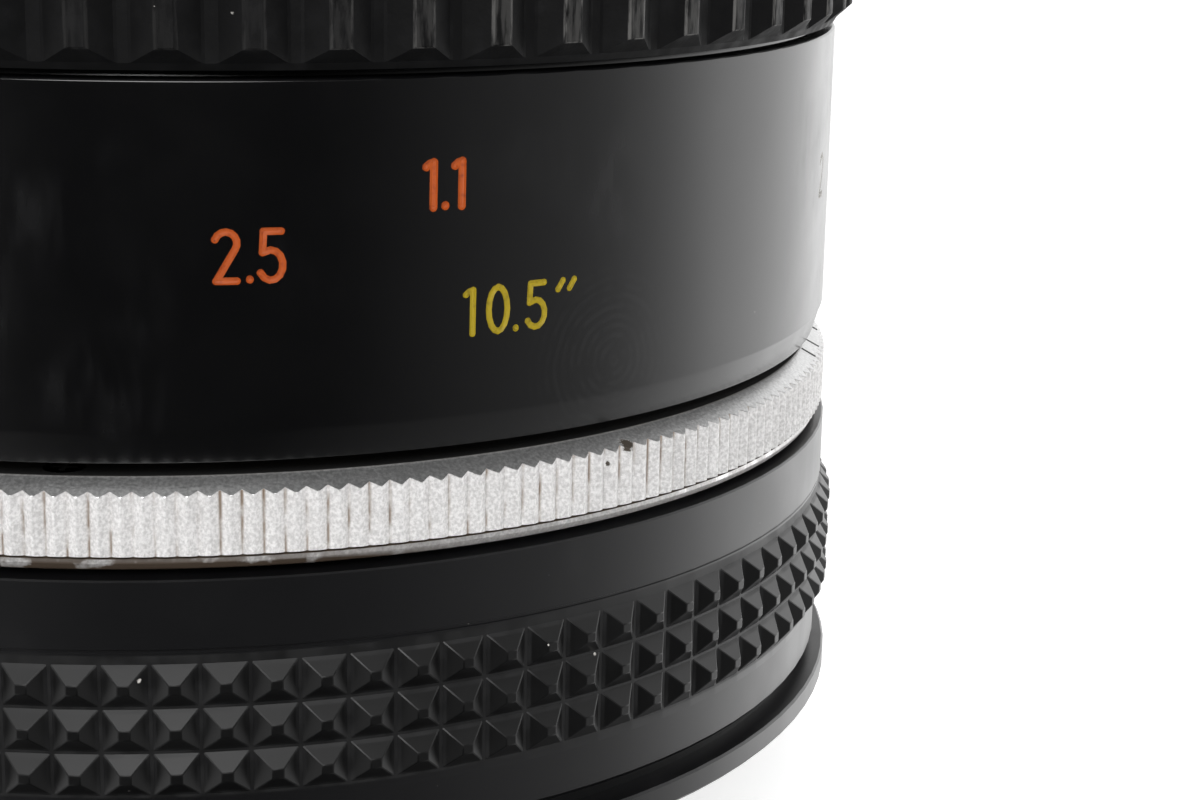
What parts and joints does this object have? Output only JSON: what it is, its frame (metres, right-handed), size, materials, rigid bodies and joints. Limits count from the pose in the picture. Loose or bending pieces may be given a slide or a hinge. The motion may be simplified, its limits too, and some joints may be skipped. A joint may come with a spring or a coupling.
{
  "type": "prime camera lens",
  "caption": "Close-focus prime lens for a reflex camera: ribbed rubber focus grip, black scale barrel, chrome grip ring, knurled aperture ring and bayonet mount, with working helicoid and iris.",
  "frame": {"origin": "centre of the bayonet flange face, on the optical axis", "axes": "+Z along the optical axis to the front of the lens; -Y towards the focus index; +X to the right of the index, seen from outside with the front up"},
  "size_m": [0.0658, 0.0661, 0.064],
  "materials": {
    "black_enamel": "satin-gloss black enamel on aluminium",
    "grip_rubber": "matte moulded rubber",
    "satin_chrome": "satin chrome over brass, fine grained",
    "bright_steel": "polished stainless steel",
    "screw_steel": "plated screw steel",
    "spring_steel": "hardened spring steel",
    "blade_steel": "blued thin steel",
    "brass": "turned brass",
    "bare_aluminium": "turned aluminium",
    "black_anodised": "matte black anodised",
    "optical_glass": "coated optical glass"
  },
  "bodies": {
    "root": {"bayonet_mount": "bright_steel", "mount_screws": "bright_steel", "rear_light_baffle": "black_anodised", "baffle_screws": "screw_steel", "fixed_housing": "bare_aluminium", "grip_ring": "satin_chrome", "grip_ring_screws": "screw_steel", "linear_keys": "brass", "key_screws": "screw_steel", "click_spring": "spring_steel", "click_ball": "spring_steel", "lever_return_spring": "spring_steel"},
    "stop_down": {"stop_down_lever": "spring_steel"},
    "aperture": {"aperture_ring": "black_enamel", "coupling_prong": "bright_steel", "prong_screws": "screw_steel", "aperture_link_arm": "brass", "link_arm_screws": "screw_steel"},
    "head": {"lens_barrel": "bare_aluminium", "travel_stops": "brass", "filter_ring": "black_enamel", "focus_ring_retainer": "bare_aluminium", "name_ring": "black_enamel", "front_baffle": "black_anodised", "optics_tube": "bare_aluminium", "optics_tube_screws": "screw_steel", "front_cell": "black_anodised", "front_retaining_ring": "black_anodised", "front_spacer": "black_anodised", "middle_spacer": "black_anodised", "lens_element_1": "optical_glass", "lens_element_2": "optical_glass", "lens_element_3": "optical_glass", "lens_element_4": "optical_glass", "lens_element_5": "optical_glass", "lens_element_6": "optical_glass", "iris_housing": "black_anodised", "iris_retainer": "black_anodised", "rear_cell": "black_anodised", "rear_spacer": "black_anodised", "rear_retaining_ring": "black_anodised"},
    "focus": {"focus_sleeve": "black_enamel", "focus_grip": "grip_rubber", "helicoid_nut": "brass", "nut_screws": "screw_steel"},
    "iris_cam": {"iris_cam_ring": "brass"},
    "blade_1": {"iris_blade_1": "blade_steel"},
    "blade_2": {"iris_blade_2": "blade_steel"},
    "blade_3": {"iris_blade_3": "blade_steel"},
    "blade_4": {"iris_blade_4": "blade_steel"},
    "blade_5": {"iris_blade_5": "blade_steel"},
    "blade_6": {"iris_blade_6": "blade_steel"},
    "blade_7": {"iris_blade_7": "blade_steel"}
  },
  "joints": [
    {"name": "focus_travel", "type": "slide", "parent": "root", "child": "head", "axis": [0, 0, 1], "range_m": [0, 0.0275]},
    {"name": "focus_turn", "type": "hinge", "parent": "head", "child": "focus", "pos_m": [0, 0, 0.03], "axis": [0, 0, -1], "range_deg": [0, 350]},
    {"name": "aperture_turn", "type": "hinge", "parent": "root", "child": "aperture", "pos_m": [0, 0, 0.008], "axis": [0, 0, -1], "range_deg": [0, 49]},
    {"name": "stop_down_turn", "type": "hinge", "parent": "root", "child": "stop_down", "pos_m": [0, 0, 0.0016], "axis": [0, 0, 1], "range_deg": [0, 22], "stiffness_Nm_per_rad": 0.02, "springref_deg": -17.19},
    {"name": "iris_cam_turn", "type": "hinge", "parent": "head", "child": "iris_cam", "pos_m": [0, 0, 0.0132], "axis": [0, 0, -1], "range_deg": [0, 49.1]},
    {"name": "blade_1_turn", "type": "hinge", "parent": "head", "child": "blade_1", "pos_m": [0.0164, 0, 0.0115], "axis": [0, 0, -1], "range_deg": [0, 30.85]},
    {"name": "blade_2_turn", "type": "hinge", "parent": "head", "child": "blade_2", "pos_m": [0.01022, 0.01282, 0.0115], "axis": [0, 0, -1], "range_deg": [0, 30.85]},
    {"name": "blade_3_turn", "type": "hinge", "parent": "head", "child": "blade_3", "pos_m": [-0.00365, 0.01599, 0.0115], "axis": [0, 0, -1], "range_deg": [0, 30.85]},
    {"name": "blade_4_turn", "type": "hinge", "parent": "head", "child": "blade_4", "pos_m": [-0.01478, 0.00712, 0.0115], "axis": [0, 0, -1], "range_deg": [0, 30.85]},
    {"name": "blade_5_turn", "type": "hinge", "parent": "head", "child": "blade_5", "pos_m": [-0.01478, -0.00712, 0.0115], "axis": [0, 0, -1], "range_deg": [0, 30.85]},
    {"name": "blade_6_turn", "type": "hinge", "parent": "head", "child": "blade_6", "pos_m": [-0.00365, -0.01599, 0.0115], "axis": [0, 0, -1], "range_deg": [0, 30.85]},
    {"name": "blade_7_turn", "type": "hinge", "parent": "head", "child": "blade_7", "pos_m": [0.01022, -0.01282, 0.0115], "axis": [0, 0, -1], "range_deg": [0, 30.85]}
  ],
  "couplings": [
    {"joint": "focus_travel", "follows": "focus_turn", "m_per_rad": 0.0045},
    {"joint": "iris_cam_turn", "follows": "aperture_turn", "ratio": 1},
    {"joint": "blade_1_turn", "follows": "aperture_turn", "ratio": 0.62781},
    {"joint": "blade_2_turn", "follows": "aperture_turn", "ratio": 0.62781},
    {"joint": "blade_3_turn", "follows": "aperture_turn", "ratio": 0.62781},
    {"joint": "blade_4_turn", "follows": "aperture_turn", "ratio": 0.62781},
    {"joint": "blade_5_turn", "follows": "aperture_turn", "ratio": 0.62781},
    {"joint": "blade_6_turn", "follows": "aperture_turn", "ratio": 0.62781},
    {"joint": "blade_7_turn", "follows": "aperture_turn", "ratio": 0.62781}
  ]
}
